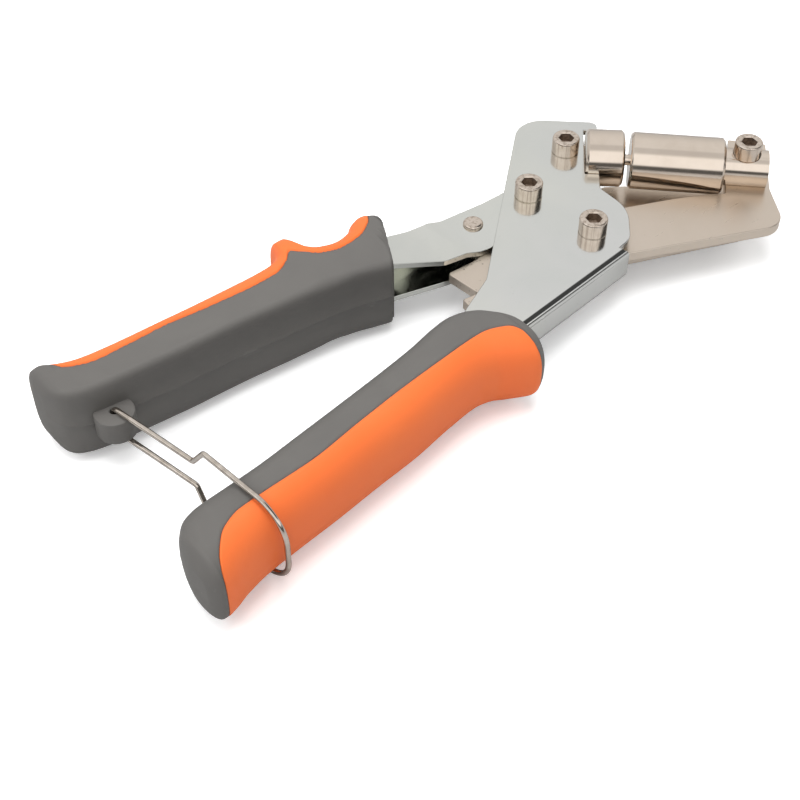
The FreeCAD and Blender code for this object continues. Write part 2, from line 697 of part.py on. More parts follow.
def main():
    """Shifts the whole tool onto its table, centred, and writes one file per piece."""
    parts = build()
    box = FreeCAD.BoundBox()
    for shape in parts.values():
        box.add(shape.copy().optimalBoundingBox(False))
    shift = V(-(box.XMin + box.XMax) / 2, -(box.YMin + box.YMax) / 2, -box.ZMin)
    print("shift", shift, "size", box.XLength, box.YLength, box.ZLength)
    os.makedirs("parts", exist_ok=True)
    for name, shape in parts.items():
        solids = shape.Solids
        if len(solids) != 1 or not shape.isValid() or shape.Volume < 0:
            print("check", name, len(solids), shape.isValid(), round(shape.Volume, 1))
        piece = solids[0].copy() if len(solids) == 1 else shape.copy()
        piece.translate(shift)
        piece.exportStep("parts/" + name + ".step")


main()
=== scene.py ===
"""Eyelet pliers lying flat: zinc sheet frame and lever, nickel jaw and dies, grey handles with
orange covers and a wire locking bail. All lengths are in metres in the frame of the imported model;
the handy function tool() takes millimetres counted from the lever pivot."""

import json
import math

import bmesh
import bpy
import numpy as np
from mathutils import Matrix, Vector


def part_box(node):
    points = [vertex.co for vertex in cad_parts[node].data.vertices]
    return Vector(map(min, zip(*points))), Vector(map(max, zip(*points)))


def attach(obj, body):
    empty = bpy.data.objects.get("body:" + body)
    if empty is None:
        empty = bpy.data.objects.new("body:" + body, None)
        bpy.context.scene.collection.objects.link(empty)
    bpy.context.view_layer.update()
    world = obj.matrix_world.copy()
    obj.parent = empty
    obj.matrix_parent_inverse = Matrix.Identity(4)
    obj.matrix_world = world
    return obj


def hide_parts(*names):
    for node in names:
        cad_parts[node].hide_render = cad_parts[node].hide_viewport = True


bl_info = {
    "name": "Eyelet Pliers",
    "version": (1, 0, 0),
    "blender": (4, 5, 0),
    "location": "View3D > Sidebar > Pliers",
    "description": "Builds eyelet pliers with two-colour handles, turned dies and a wire bail",
    "category": "Object",
}

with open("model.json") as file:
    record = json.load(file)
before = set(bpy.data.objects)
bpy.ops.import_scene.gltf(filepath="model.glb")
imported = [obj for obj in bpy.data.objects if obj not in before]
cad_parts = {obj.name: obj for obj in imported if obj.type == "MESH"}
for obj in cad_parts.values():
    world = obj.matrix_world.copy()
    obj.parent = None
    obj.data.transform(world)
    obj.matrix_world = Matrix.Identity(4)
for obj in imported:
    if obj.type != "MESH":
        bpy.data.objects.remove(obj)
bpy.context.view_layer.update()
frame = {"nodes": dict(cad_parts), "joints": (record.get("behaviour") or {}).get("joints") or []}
PIVOT = Vector(next(j["pos_m"] for j in frame["joints"] if j["name"] == "handle_squeeze"))
MM = 0.001


def tool(x, y, z=0.0):
    """Point in the model's frame from millimetres counted from the lever pivot."""
    return PIVOT + Vector((x, y, z)) * MM


# Sizes and colours


class PliersSizes(bpy.types.PropertyGroup):
    """Sizes that change the looks and stay inside the solid model"""

    edge_round: bpy.props.FloatProperty(
        name="Sheet edge", description="Rounding of the sheet edges", default=0.00028, unit="LENGTH")
    groove_width: bpy.props.FloatProperty(
        name="Seam width", description="Groove between core and cover", default=0.0007, unit="LENGTH")
    groove_depth: bpy.props.FloatProperty(
        name="Seam depth", description="Depth of that groove", default=0.0007, unit="LENGTH")
    cover_rise: bpy.props.FloatProperty(
        name="Cover rise", description="How far the cover stands proud", default=0.00015, unit="LENGTH")
    mould_line: bpy.props.FloatProperty(
        name="Mould line", description="Height of the parting line", default=0.00020, unit="LENGTH")
    wire_radius: bpy.props.FloatProperty(
        name="Bail wire", description="Radius of the bail wire", default=0.0009, unit="LENGTH")
    bend_radius: bpy.props.FloatProperty(
        name="Bail bend", description="Bend radius of the bail wire", default=0.0017, unit="LENGTH")
    head_radius: bpy.props.FloatProperty(
        name="Screw head", description="Radius of the cap screw heads", default=0.005, unit="LENGTH")
    head_height: bpy.props.FloatProperty(
        name="Head height", description="Height of the cap screw heads", default=0.006, unit="LENGTH")
    key_flats: bpy.props.FloatProperty(
        name="Key size", description="Hexagon socket across flats", default=0.005, unit="LENGTH")
    nut_flats: bpy.props.FloatProperty(
        name="Nut size", description="Nuts across flats", default=0.010, unit="LENGTH")


class PliersColours(bpy.types.PropertyGroup):
    """Base colours of the finishes"""

    zinc: bpy.props.FloatVectorProperty(
        name="Zinc", description="Zinc sheet", subtype="COLOR", size=3, default=(0.766, 0.768, 0.717))
    nickel: bpy.props.FloatVectorProperty(
        name="Nickel", description="Jaw", subtype="COLOR", size=3, default=(0.730, 0.632, 0.531))
    bright: bpy.props.FloatVectorProperty(
        name="Bright nickel", description="Polished dies and screws", subtype="COLOR", size=3,
        default=(0.76, 0.66, 0.565))
    grey: bpy.props.FloatVectorProperty(
        name="Handle grey", description="Hard core of the handles", subtype="COLOR", size=3,
        default=(0.104, 0.099, 0.093))
    orange: bpy.props.FloatVectorProperty(
        name="Cover orange", description="Soft cover of the handles", subtype="COLOR", size=3,
        default=(0.754, 0.145, 0.031))
    backdrop: bpy.props.FloatVectorProperty(
        name="Backdrop", description="Floor and backdrop", subtype="COLOR", size=3, default=(1.0, 1.0, 1.0))


def sizes():
    return bpy.context.scene.pliers_sizes


def colours():
    return bpy.context.scene.pliers_colours


# Shader maths


def add_node(tree, kind, settings=None, sockets=None):
    """A node with its settings; each input takes a value or a link."""
    node = tree.nodes.new(kind)
    for key, value in (settings or {}).items():
        setattr(node, key, value)
    for key, value in (sockets or {}).items():
        if isinstance(value, bpy.types.NodeSocket):
            tree.links.new(value, node.inputs[key])
        else:
            node.inputs[key].default_value = value
    return node


class Wire:
    """A shader socket that takes part in arithmetic; each operation adds a Math node."""

    def __init__(self, finish, socket):
        self.finish, self.socket = finish, socket

    def math(self, operation, *others):
        return self.finish.add("ShaderNodeMath", {"operation": operation}, dict(enumerate((self, *others))))

    def __add__(self, other):
        return self.math("ADD", other)

    __radd__ = __add__

    def __sub__(self, other):
        return self.math("SUBTRACT", other)

    def __rsub__(self, other):
        return self.finish.add("ShaderNodeMath", {"operation": "SUBTRACT"}, {0: other, 1: self})

    def __mul__(self, other):
        return self.math("MULTIPLY", other)

    __rmul__ = __mul__

    def __truediv__(self, other):
        return self.math("DIVIDE", other)

    def __rtruediv__(self, other):
        return self.finish.add("ShaderNodeMath", {"operation": "DIVIDE"}, {0: other, 1: self})

    def above(self, low, high):
        """0 below low, 1 above high."""
        return ((self - low) / (high - low)).math("MAXIMUM", 0.0).math("MINIMUM", 1.0)


class Finish:
    """One node material."""

    def __init__(self, name, **shader):
        self.material = bpy.data.materials.new(name)
        self.material.use_nodes = True
        self.tree = self.material.node_tree
        self.tree.nodes.clear()
        self.output = self.tree.nodes.new("ShaderNodeOutputMaterial")
        self.shader = self.tree.nodes.new("ShaderNodeBsdfPrincipled")
        self.tree.links.new(self.shader.outputs[0], self.output.inputs["Surface"])
        for key, value in shader.items():
            self.set(key.replace("_", " ").title().replace("Ior", "IOR"), value)

    def set(self, key, value):
        self.plug(value, self.shader.inputs[key])

    def plug(self, value, socket):
        if isinstance(value, Wire):
            self.tree.links.new(value.socket, socket)
        elif isinstance(value, (tuple, list)) and len(value) == 3 and len(socket.default_value) == 4:
            socket.default_value = (*value, 1.0)
        else:
            socket.default_value = value

    def add(self, kind, settings=None, sockets=None, out=0):
        node = add_node(self.tree, kind, settings)
        for key, value in (sockets or {}).items():
            self.plug(value, node.inputs[key])
        return Wire(self, node.outputs[out])

    def place(self, scale=(1, 1, 1), turn=0.0, centre=(0, 0, 0)):
        """Object coordinates, moved to centre, turned about Z and scaled."""
        where = self.add("ShaderNodeTexCoord", out="Object")
        moved = self.add("ShaderNodeVectorMath", {"operation": "SUBTRACT"}, {0: where, 1: tuple(centre)})
        return self.add("ShaderNodeMapping", {"vector_type": "POINT"},
                        {"Vector": moved, "Rotation": (0, 0, turn), "Scale": scale})

    def along(self, axis):
        """One of the object coordinates."""
        where = self.add("ShaderNodeTexCoord", out="Object")
        return self.add("ShaderNodeSeparateXYZ", {}, {0: where}, out=axis)

    def noise(self, place, scale, detail=3.0, rough=0.5, distortion=0.0):
        return self.add("ShaderNodeTexNoise", {}, {
            "Vector": place, "Scale": scale, "Detail": detail, "Roughness": rough,
            "Distortion": distortion})

    def mix(self, factor, first, second):
        return self.add("ShaderNodeMix", {"data_type": "RGBA"}, {0: factor, 6: first, 7: second}, out=2)

    def bump(self, height, distance, strength):
        return self.add("ShaderNodeBump", {}, {
            "Strength": strength, "Distance": distance, "Height": height})


FINISHES = {}


def tint(base, red, green, blue):
    return base[0] * red, base[1] * green, base[2] * blue


def zinc_sheet():
    """Bright zinc on rolled sheet: soft clouds, fine rolling lines and faint rainbow passivation."""
    f = Finish("zinc_sheet", metallic=1.0)
    base = colours().zinc
    place = f.place(turn=math.radians(-40))
    cloud = f.noise(place, 38.0, 4.0, 0.55, 0.6)
    patch = f.noise(f.place(centre=(0.01, 0.02, 0)), 14.0, 2.0, 0.5)
    lines = f.noise(f.place(scale=(0.035, 1, 1), turn=math.radians(-38)), 5200.0, 2.0, 0.6)
    speck = f.noise(place, 950.0, 2.0, 0.6)
    warm = f.mix(patch.above(0.42, 0.64), tuple(base), tint(base, 0.97, 0.965, 1.01))
    cold = f.mix(cloud.above(0.35, 0.7) * 0.5, warm, tint(base, 0.88, 0.9, 0.92))
    pits = speck.above(0.68, 0.76)
    f.set("Base Color", f.mix(pits * 0.35, cold, (0.42, 0.41, 0.40)))
    f.set("Roughness", 0.07 + cloud * 0.07 + lines * 0.04 + pits * 0.1)
    f.set("Normal", f.bump(lines * 0.4 + speck * 0.3 + cloud * 1.5, 0.000006, 0.5))
    return f.material


def satin_nickel():
    """Satin nickel on the jaw: grain, a few long scratches and small pits."""
    f = Finish("satin_nickel", metallic=1.0)
    base = colours().nickel
    place = f.place(turn=math.radians(25))
    cloud = f.noise(place, 45.0, 4.0, 0.6, 0.4)
    grain = f.noise(place, 2600.0, 2.0, 0.55)
    long_marks = f.noise(f.place(scale=(0.05, 1, 1), turn=math.radians(28)), 900.0, 3.0, 0.7, 0.3)
    marks = long_marks.above(0.63, 0.70)
    pit_field = f.add("ShaderNodeTexVoronoi", {"feature": "F1"}, {"Vector": place, "Scale": 520.0})
    left = (PIVOT.x - 0.020 - f.along(0)).above(0.0, 0.008)
    pits = (1 - pit_field.above(0.10, 0.20)) * cloud.above(0.42, 0.52) * left
    tone = f.mix(cloud.above(0.3, 0.72), tuple(base), tint(base, 1.06, 1.07, 1.09))
    tone = f.mix(marks * 0.35, tone, (0.75, 0.69, 0.61))
    f.set("Base Color", f.mix(pits * 0.6, tone, (0.30, 0.25, 0.20)))
    f.set("Roughness", 0.26 + grain * 0.08 + cloud * 0.08 - marks * 0.08)
    f.set("Normal", f.bump(grain * 0.6 + marks * 1.2 - pits * 5.0, 0.00002, 0.6))
    return f.material


def polished_nickel():
    """Turned and polished nickel with faint circular tool marks and handling haze."""
    f = Finish("polished_nickel", metallic=1.0)
    base = colours().bright
    place = f.place()
    haze = f.noise(place, 110.0, 4.0, 0.6, 0.5)
    fine = f.noise(place, 1500.0, 3.0, 0.6)
    f.set("Base Color", f.mix(haze.above(0.35, 0.75) * 0.5, tuple(base), tint(base, 0.86, 0.84, 0.81)))
    f.set("Roughness", 0.07 + haze.above(0.4, 0.8) * 0.09 + fine * 0.03)
    f.set("Normal", f.bump(fine, 0.000004, 0.35))
    return f.material


def screw_steel():
    """Nickel plated screws, brighter than the jaw, with soft wear in the plating."""
    f = Finish("screw_steel", metallic=1.0)
    base = colours().bright
    place = f.place()
    haze = f.noise(place, 320.0, 3.0, 0.6)
    fine = f.noise(place, 3800.0, 2.0, 0.5)
    streak = f.noise(f.place(scale=(1, 1, 0.05)), 900.0, 2.0, 0.5).above(0.50, 0.66)
    worn = f.mix(haze.above(0.4, 0.7) * 0.4, tint(base, 0.96, 0.96, 0.97), tint(base, 0.74, 0.71, 0.67))
    f.set("Base Color", f.mix(streak * 0.55, worn, tint(base, 0.42, 0.38, 0.34)))
    f.set("Roughness", 0.12 + haze * 0.12 + fine * 0.06)
    f.set("Normal", f.bump(fine, 0.000006, 0.5))
    return f.material


def socket_painted_shade():
    """Darker inside of the hexagon sockets: painted shade in the recess, mottled by noise."""
    f = Finish("socket_painted_shade", metallic=0.9)
    haze = f.noise(f.place(), 900.0, 3.0, 0.6)
    # painted shade: the socket's inside is darker brown than the head's plating
    f.set("Base Color", f.mix(haze.above(0.35, 0.7), (0.30, 0.23, 0.18), (0.52, 0.43, 0.35)))
    f.set("Roughness", 0.30 + haze * 0.2)
    return f.material


def wire_steel():
    """Drawn wire with bright nickel and fine draw marks."""
    f = Finish("wire_steel", metallic=1.0)
    place = f.place()
    haze = f.noise(place, 260.0, 3.0, 0.6)
    f.set("Base Color", f.mix(haze.above(0.4, 0.7), (0.70, 0.63, 0.56), (0.50, 0.44, 0.38)))
    f.set("Roughness", 0.06 + haze * 0.10)
    f.set("Normal", f.bump(f.noise(place, 4200.0, 2.0, 0.5), 0.000005, 0.5))
    return f.material


def grey_plastic():
    """Moulded grey plastic with a spark-eroded skin, slight rub marks and dust."""
    f = Finish("grey_plastic", specular_ior_level=0.42)
    base = colours().grey
    place = f.place()
    skin = f.noise(place, 3300.0, 2.0, 0.6)
    cloud = f.noise(place, 32.0, 4.0, 0.6, 0.5)
    rub = f.noise(f.place(scale=(0.18, 1, 1), turn=math.radians(-6)), 260.0, 4.0, 0.65).above(0.66, 0.80)
    tone = f.mix(cloud.above(0.3, 0.75), tuple(base), tint(base, 1.16, 1.16, 1.15))
    f.set("Base Color", f.mix(rub * 0.16, tone, (0.30, 0.29, 0.27)))
    f.set("Roughness", 0.47 + cloud * 0.12 + skin * 0.08 - rub * 0.08)
    f.set("Normal", f.bump(skin, 0.00003, 0.45))
    return f.material


def orange_rubber():
    """Soft orange cover, silky with a fine skin and faint flow variation."""
    f = Finish("orange_rubber", specular_ior_level=0.38)
    base = colours().orange
    place = f.place()
    skin = f.noise(place, 2700.0, 2.0, 0.6)
    cloud = f.noise(place, 26.0, 3.0, 0.55, 0.5)
    tone = f.mix(cloud.above(0.3, 0.75), tuple(base), tint(base, 1.0, 1.13, 1.25))
    f.set("Base Color", tone)
    f.set("Roughness", 0.50 + cloud * 0.10 + skin * 0.06)
    f.set("Normal", f.bump(skin, 0.000022, 0.4))
    return f.material


def finish(maker):
    """The material of a finish, made once."""
    if maker not in FINISHES:
        FINISHES[maker] = maker()
    return FINISHES[maker]


# Mesh helpers


def new_piece(name, mesh):
    piece = bpy.data.objects.new(name, mesh)
    bpy.context.scene.collection.objects.link(piece)
    return piece


def bake_modifiers(piece):
    """Turns the evaluated object into a plain mesh with no modifiers."""
    graph = bpy.context.evaluated_depsgraph_get()
    mesh = bpy.data.meshes.new_from_object(piece.evaluated_get(graph), depsgraph=graph)
    piece.modifiers.clear()
    piece.data = mesh
    return piece


def smooth(mesh, degrees):
    for polygon in mesh.polygons:
        polygon.use_smooth = True
    mesh.set_sharp_from_angle(angle=math.radians(degrees))


def settle(piece, body, slot_name, *nodes):
    """A finished piece stands for its nodes and rides on its body."""
    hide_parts(*nodes)
    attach(piece, body)
    return piece


WELD = 2e-6
FLAT_DEGREES, SHARP_DEGREES = 0.8, 40


def rounded_copy(node, name, material, width):
    """Copy of a node's solid with its coplanar faces merged and its sharp edges rounded."""
    mesh = frame["nodes"][node].data.copy()
    mesh.materials.clear()
    mesh.materials.append(finish(material))
    solid = bmesh.new()
    solid.from_mesh(mesh)
    bmesh.ops.remove_doubles(solid, verts=solid.verts, dist=WELD)
    bmesh.ops.dissolve_limit(solid, angle_limit=math.radians(FLAT_DEGREES), verts=solid.verts,
                             edges=solid.edges)
    solid.to_mesh(mesh)
    solid.free()
    for polygon in mesh.polygons:
        polygon.material_index = 0
    piece = new_piece(name, mesh)
    bevel = piece.modifiers.new("edge", "BEVEL")
    bevel.width, bevel.segments, bevel.limit_method = width, 2, "ANGLE"
    bevel.angle_limit, bevel.use_clamp_overlap = math.radians(SHARP_DEGREES), True
    smooth(mesh, SHARP_DEGREES)
    weighted = piece.modifiers.new("shading", "WEIGHTED_NORMAL")
    weighted.keep_sharp = True
    return bake_modifiers(piece)


# Handles

# Plan stations of each handle in millimetres from the lever pivot: x, low y, high y, share of height
LEVER_STATIONS = (
    (-50.04, -6.5, 22.51, 0.82), (-53.52, -6.5, 25.8, 0.95), (-57.96, -6, 27.19, 1),
    (-61.99, -5.5, 25.8, 1), (-66.02, -4.8, 22.8, 1), (-72.98, -2.59, 21.19, 1), (-78.95, -0.6, 22.99, 1),
    (-82.98, 0.19, 27.19, 1), (-86.04, 0.7, 35.4, 1), (-88.96, 1.2, 35.21, 1), (-92.99, 1.7, 27.79, 1),
    (-98.97, 2.4, 25.61, 1), (-107.03, 3.19, 25.2, 1), (-118.01, 4.51, 25.39, 1),
    (-130.94, 5.59, 25.8, 1), (-140.95, 6.19, 26.4, 1), (-150.95, 7.2, 26.81, 1),
    (-160.96, 8.3, 27.41, 1), (-170, 9.31, 28.61, 1), (-176.53, 10.61, 31.2, 1), (-181.26, 12.6, 34.2, 1),
    (-184.31, 15.79, 34.01, 0.93), (-185.98, 20.5, 31.01, 0.76),
)
FRAME_STATIONS = (
    (-49.76, -58.01, -46.01, 0.7), (-51.99, -63, -40.51, 0.88), (-55.46, -64.51, -36, 0.97),
    (-58.94, -63, -32.59, 1), (-62.97, -60.79, -30.6, 1), (-67.97, -57.79, -30, 1),
    (-73.95, -56.59, -30.79, 1), (-86.04, -57.79, -33.41, 1), (-103, -60.6, -35.9, 1),
    (-119.96, -62.21, -38.11, 1), (-137.05, -64.2, -40.2, 1), (-153.04, -65.59, -42.1, 1),
    (-164.99, -67.01, -42.79, 1), (-174.03, -69.29, -43.2, 1), (-179.45, -71.3, -44.59, 1),
    (-184.04, -72.29, -49.01, 0.94), (-187.23, -70.01, -57, 0.65),
)
# Border between core and cover, closed onto the outline at both ends
LEVER_SEAM = (
    (-178.8, 32.6), (-178.3, 30.5), (-177.5, 27.2), (-176.5, 24.9), (-163, 20.1), (-143, 19.9),
    (-123.9, 17.8), (-107.5, 16.7), (-99.6, 16.9), (-92.9, 20), (-88.9, 23), (-86.1, 20.1), (-81.4, 15.8),
    (-74.1, 13.4), (-66.5, 14.2), (-59.7, 17.7), (-56.9, 21.1), (-55.7, 23.6), (-55.2, 26.4),
)
FRAME_SEAM = (
    (-183.2, -72.2), (-182.95, -71.2), (-182.6, -69.9), (-179.1, -63.9), (-173.7, -58.7), (-166.7, -56.1),
    (-157.5, -55.6), (-142, -55.2), (-119.9, -52.1), (-101.5, -49.7), (-84.3, -48.2), (-66.4, -47.1),
    (-59.5, -49), (-55.4, -54), (-55, -58.2), (-54.75, -61.2), (-54.6, -64.3),
)
# Section of the handles, and the roundings of their ends, in millimetres
HALF_HEIGHT, CROWN = 14.4, 1.02
END_ROUND, MOUTH_ROUND, MOUTH_NOSE = 2.4, 1.3, 4.0
LEVER_POWERS, FRAME_POWERS = (3.2, 7.0), (2.6, 2.6)
LEVER_MOUTH = ((-65.9, -3.9), (-52.5, 19.8))
LEVER_FRONT, FRAME_FRONT = -49.98, -49.8
# Core under the cover, its mould line, and the border and wall of the cover, in millimetres
UNDER_COVER, UNDER_SLOPE, LIP_SHARE, MOULD_HALF = 1.1, 0.7, 0.4, 0.35
BORDER_WIDTH, BORDER_DEPTH, BORDER_TRIM, COVER_WALL = 0.9, 0.6, 0.35, 1.5
CORE_STEP, COVER_STEP = 0.9, 0.75
# Points of a ring: under the cover, on the open side, and across the cover
COVERED_POINTS, OPEN_POINTS, COVER_POINTS = 34, 62, 46


class Curve:
    """Smooth function through the points that doesn't overshoot, flat beyond its ends."""

    def __init__(self, points):
        points = sorted(points)
        self.x = np.array([p[0] for p in points], float)
        self.y = np.array([p[1] for p in points], float)
        h, d = np.diff(self.x), np.diff(self.y) / np.diff(self.x)
        self.m = np.zeros(len(self.x))
        for i in range(1, len(self.x) - 1):
            if d[i - 1] * d[i] > 0:
                a, b = 2 * h[i] + h[i - 1], h[i] + 2 * h[i - 1]
                self.m[i] = (a + b) / (a / d[i - 1] + b / d[i])
        self.m[0], self.m[-1] = d[0], d[-1]

    def __call__(self, at):
        at = min(max(at, self.x[0]), self.x[-1])
        i = min(max(int(np.searchsorted(self.x, at)) - 1, 0), len(self.x) - 2)
        h = self.x[i + 1] - self.x[i]
        t = (at - self.x[i]) / h
        return ((1 + 2 * t) * (1 - t) ** 2 * self.y[i] + t * (1 - t) ** 2 * h * self.m[i]
                + t * t * (3 - 2 * t) * self.y[i + 1] + t * t * (t - 1) * h * self.m[i + 1])


class Handle:
    """Outline, section and seam of one handle, and the plane of its mouth where that is slanted."""

    def __init__(self, stations, seam, powers, side, x_max, mouth=None):
        self.low = Curve([(s[0], s[1]) for s in stations])
        self.high = Curve([(s[0], s[2]) for s in stations])
        self.tall = Curve([(s[0], s[3]) for s in stations])
        self.seam = Curve(seam)
        self.seam_start, self.seam_end = min(seam)[0], max(seam)[0]
        self.powers, self.side, self.mouth = powers, side, mouth
        self.x_min, self.x_max = min(s[0] for s in stations), x_max

    def power(self, c):
        """Fullness of the section on the cover's side and on the core's side."""
        return self.powers[0] if c >= 0 else self.powers[1]

    def half_angle(self, x, low, high):
        """Half of the ring's turn that lies under the cover, counted from the cover's side."""
        if not self.seam_start < x < self.seam_end:
            return 0.0
        share = self.side * (self.seam(x) - (low + high) / 2) / ((high - low) / 2)
        share = min(max(share, -0.98), 1.0)
        return math.acos(math.copysign(abs(share) ** (self.power(share) / 2), share))

    def to_mouth(self, x, y):
        """Distance of a plan point from the plane of the mouth, positive inside."""
        if self.mouth is None:
            return self.x_max - x
        (x1, y1), (x2, y2) = self.mouth
        return ((x2 - x1) * (y - y1) - (y2 - y1) * (x - x1)) / math.hypot(x2 - x1, y2 - y1)

    def point(self, x, low, high, angle, inset, smaller=0.0):
        """Point of the ring of x; angle 0 looks to the cover's side, inset sinks it along the
        surface's normal and smaller makes the whole ring smaller."""
        middle, half = (low + high) / 2, (high - low) / 2 - smaller
        tall = HALF_HEIGHT * CROWN * self.tall(x) - smaller
        c, s = math.cos(angle), math.sin(angle)
        power = self.power(c)
        wide = math.copysign(abs(c) ** (2 / power), c)
        rise = math.copysign(abs(s) ** (2 / power), s)
        near = self.to_mouth(x, middle + self.side * wide * half)
        turn = MOUTH_ROUND + (MOUTH_NOSE * max(wide, 0.0) ** 4 if self.mouth else 0.0)
        if near < turn:
            inset += turn * (1 - math.sqrt(1 - (1 - max(near, 0.0) / turn) ** 2))
        normal = Vector((math.copysign(abs(wide) ** (power - 1), c) / half,
                         math.copysign(abs(rise) ** (power - 1), s) / tall))
        normal.normalize()
        limit = HALF_HEIGHT - smaller - max(inset, 0.0)
        z = min(max(rise * tall - normal.y * inset, -limit), limit)
        return tool(x, middle + self.side * (wide * half - normal.x * inset), z)

    def rows(self, step):
        """Ring positions, closer where the outline or the seam runs steeply."""
        rows, x = [], self.x_min + END_ROUND
        while x < self.x_max:
            rows.append(x)
            ends = min(abs(x - self.seam_start), abs(x - self.seam_end))
            steep = sum(abs(curve(x + 0.4) - curve(x - 0.4)) for curve in (self.high, self.low))
            slanted = self.mouth is not None and x > min(p[0] for p in self.mouth) - 2
            close = ends < 2.5 or slanted or self.x_max - x < 2.5
            x += step * (0.25 if close else 0.5 if ends < 6 or steep > 0.5 else 1.0)
        return rows + [self.x_max]


def spaced(first, last, count):
    """Angles from first to last, closer together at both ends."""
    out = []
    for i in range(count):
        t = i / (count - 1)
        out.append(first + (last - first) * (0.35 * t + 0.65 * (0.5 - 0.5 * math.cos(math.pi * t))))
    return out


def bridge(solid, rings, around=True):
    """Faces between neighbouring rings, all the way round or from end to end."""
    for first, second in zip(rings, rings[1:]):
        for i in range(len(first) if around else len(first) - 1):
            j = (i + 1) % len(first)
            solid.faces.new((first[i], first[j], second[j], second[i]))


def core_piece(handle, name):
    """Closed core: the whole handle, lowered under the cover and with a rounded lip along the seam."""
    s = sizes()
    sizes_in_use = (s.groove_width, s.groove_depth, s.cover_rise, s.mould_line)
    lip, depth, proud, mould = (size / MM for size in sizes_in_use)
    rows = [(x, 0.0) for x in handle.rows(CORE_STEP)]
    turns = [math.pi / 2 * i / 6 for i in range(6, 0, -1)]
    back = [(handle.x_min + END_ROUND * (1 - math.sin(a)), END_ROUND * (1 - math.cos(a))) for a in turns]
    solid = bmesh.new()
    rings = []
    for x, sunk in back + rows:
        low, high = handle.low(x), handle.high(x)
        covered = handle.half_angle(x, low, high)
        width = max(covered, 0.02)
        radius = (high - low) / 2
        ring = []
        line = math.asin((MOULD_HALF / (HALF_HEIGHT * CROWN * handle.tall(x))) ** (handle.powers[1] / 2))
        open_side = spaced(width, 2 * math.pi - width, OPEN_POINTS)[:-1]
        open_side += [math.pi - line, math.pi, math.pi + line]
        for angle in spaced(-width, width, COVERED_POINTS)[:-1] + sorted(open_side):
            turn = abs((angle + math.pi) % (2 * math.pi) - math.pi)
            gap = (covered - turn) * radius
            inset = proud
            if covered > 0.1 and gap > 0:
                inset += min(gap / UNDER_SLOPE, 1.0) * UNDER_COVER
            elif covered > 0.1:
                inset += depth * LIP_SHARE * max(1 + gap / lip, 0.0) ** 2
            inset -= mould if math.pi - turn < line / 2 else 0.0
            ring.append(solid.verts.new(handle.point(x, low, high, angle, inset, sunk)))
        rings.append(ring)
    bridge(solid, rings)
    solid.faces.new(rings[0])
    solid.faces.new(rings[-1])
    if handle.mouth:
        first, last = tool(*handle.mouth[0]), tool(*handle.mouth[1])
        outward = Vector((last.y - first.y, first.x - last.x, 0))
        everything = solid.verts[:] + solid.edges[:] + solid.faces[:]
        cut = bmesh.ops.bisect_plane(solid, geom=everything, dist=1e-7, plane_co=first, plane_no=outward,
                                     clear_outer=True)
        rim = [e for e in cut["geom_cut"] if isinstance(e, bmesh.types.BMEdge)]
        bmesh.ops.holes_fill(solid, edges=rim, sides=0)
    return closed_piece(solid, name, grey_plastic, 50)


def closed_piece(solid, name, material, angle):
    bmesh.ops.recalc_face_normals(solid, faces=solid.faces)
    mesh = bpy.data.meshes.new(name)
    solid.to_mesh(mesh)
    solid.free()
    mesh.materials.append(finish(material))
    smooth(mesh, angle)
    return new_piece(name, mesh)


def cover_piece(handle, name):
    """Closed soft cover over its part of the handle, with a rounded border that meets the lip."""
    lip = sizes().groove_width / MM
    solid = bmesh.new()
    grid, count = [], COVER_POINTS
    for x in handle.rows(COVER_STEP):
        low, high = handle.low(x), handle.high(x)
        covered = handle.half_angle(x, low, high)
        radius = (high - low) / 2
        trim = lip * BORDER_TRIM / radius
        if covered < trim + 0.04:
            continue
        line = []
        for angle in spaced(trim - covered, covered - trim, count):
            near = min((covered - trim - abs(angle)) * radius / BORDER_WIDTH, 1.0)
            inset = BORDER_DEPTH * (1 - math.sqrt(max(1 - (1 - near) ** 2, 0.0)))
            line.append(solid.verts.new(handle.point(x, low, high, angle, inset)))
        grid.append(line)
    bridge(solid, grid, around=False)
    solid.normal_update()
    middle = grid[len(grid) // 2]
    centre = (middle[0].co + middle[-1].co) / 2
    crest = middle[count // 2]
    if (crest.co - centre).dot(crest.normal) < 0:
        bmesh.ops.reverse_faces(solid, faces=solid.faces)
    mesh = bpy.data.meshes.new(name)
    solid.to_mesh(mesh)
    solid.free()
    mesh.materials.append(finish(orange_rubber))
    piece = new_piece(name, mesh)
    wall = piece.modifiers.new("wall", "SOLIDIFY")
    wall.thickness, wall.offset, wall.use_even_offset = COVER_WALL * MM, -1.0, False
    bake_modifiers(piece)
    smooth(piece.data, 50)
    return piece


EAR_AT = (-170.1, 7.2)
EAR_RADIUS, EAR_HALF, EAR_ROUND = 6.6, 4.45, 0.7
EAR_HOLE, EAR_COUNTERSINK, EAR_POINTS = 1.4, 0.3, 72


def ear_piece(name):
    """Rounded ear on the lever handle with the drilled hole for the bail."""
    soft = EAR_ROUND * 2 / 7
    upper = [(EAR_RADIUS, EAR_HALF - EAR_ROUND), (EAR_RADIUS - soft, EAR_HALF - soft),
             (EAR_RADIUS - EAR_ROUND, EAR_HALF), (EAR_HOLE + EAR_COUNTERSINK, EAR_HALF),
             (EAR_HOLE, EAR_HALF - EAR_COUNTERSINK)]
    profile = [(radius, -z) for radius, z in reversed(upper)] + upper
    solid, rings = bmesh.new(), []
    turns = [2 * math.pi * i / EAR_POINTS for i in range(EAR_POINTS)]
    for radius, z in profile:
        rings.append([solid.verts.new(tool(EAR_AT[0] + radius * math.cos(a),
                                           EAR_AT[1] + radius * math.sin(a), z)) for a in turns])
    bridge(solid, rings + rings[:1])
    return closed_piece(solid, name, grey_plastic, 35)


# Geometry Nodes


